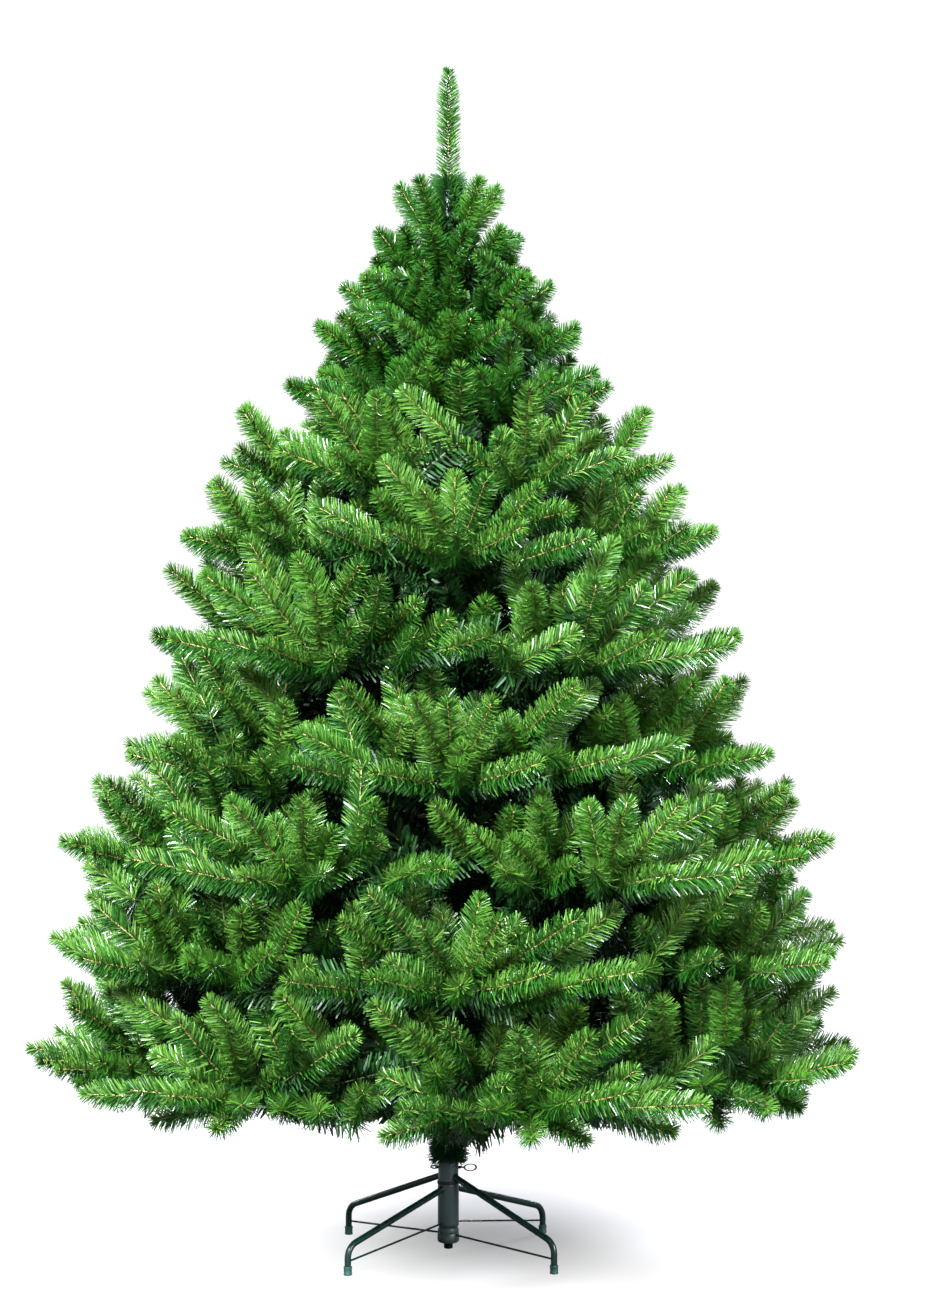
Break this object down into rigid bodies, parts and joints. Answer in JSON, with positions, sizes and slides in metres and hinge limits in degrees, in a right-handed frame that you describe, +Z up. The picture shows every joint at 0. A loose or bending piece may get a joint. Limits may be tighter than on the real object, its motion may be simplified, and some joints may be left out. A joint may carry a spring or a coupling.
{
  "type": "artificial spruce tree",
  "caption": "Undecorated artificial spruce tree: tiers of bushy green boughs on a steel pole, standing in a folding four-legged steel stand.",
  "frame": {"origin": "on the floor, under the middle of the pole", "axes": "+Z up the pole; +X and +Y level, each halfway between two legs of the stand"},
  "size_m": [1.4775, 1.4607, 2.1],
  "materials": {
    "needles": "green plastic film needles with a soft sheen, lighter at the tips",
    "bough_paint": "dull green paint on wire",
    "pole_paint": "dark green semi-gloss paint",
    "stand_paint": "dark green gloss paint",
    "foot_cap": "dark green soft plastic"
  },
  "bodies": {
    "root": {"pole": "pole_paint", "stand_socket": "stand_paint", "stand_leg_1": "stand_paint", "stand_strut_1": "stand_paint", "stand_foot_1": "foot_cap", "stand_leg_2": "stand_paint", "stand_strut_2": "stand_paint", "stand_foot_2": "foot_cap", "stand_leg_3": "stand_paint", "stand_strut_3": "stand_paint", "stand_foot_3": "foot_cap", "stand_leg_4": "stand_paint", "stand_strut_4": "stand_paint", "stand_foot_4": "foot_cap", "stand_eye_bolt_1": "stand_paint", "stand_eye_bolt_2": "stand_paint", "bough_1": "bough_paint", "foliage_tier_1_1": "needles", "bough_2": "bough_paint", "foliage_tier_1_2": "needles", "bough_3": "bough_paint", "foliage_tier_1_3": "needles", "bough_4": "bough_paint", "foliage_tier_1_4": "needles", "bough_5": "bough_paint", "foliage_tier_1_5": "needles", "bough_6": "bough_paint", "foliage_tier_1_6": "needles", "bough_7": "bough_paint", "foliage_tier_1_7": "needles", "foliage_tier_2_1": "needles", "foliage_tier_2_2": "needles", "foliage_tier_2_3": "needles", "foliage_tier_2_4": "needles", "foliage_tier_2_5": "needles", "foliage_tier_2_6": "needles", "foliage_tier_3_1": "needles", "foliage_tier_3_2": "needles", "foliage_tier_3_3": "needles", "foliage_tier_3_4": "needles", "foliage_tier_3_5": "needles", "foliage_tier_3_6": "needles", "foliage_tier_4_1": "needles", "foliage_tier_4_2": "needles", "foliage_tier_4_3": "needles", "foliage_tier_4_4": "needles", "foliage_tier_4_5": "needles", "foliage_tier_5_1": "needles", "foliage_tier_5_2": "needles", "foliage_tier_5_3": "needles", "foliage_tier_5_4": "needles", "foliage_tier_5_5": "needles", "foliage_whorl_1": "needles", "foliage_whorl_2": "needles", "foliage_whorl_3": "needles", "foliage_whorl_4": "needles", "foliage_whorl_5": "needles", "foliage_top": "needles"}
  },
  "joints": []
}
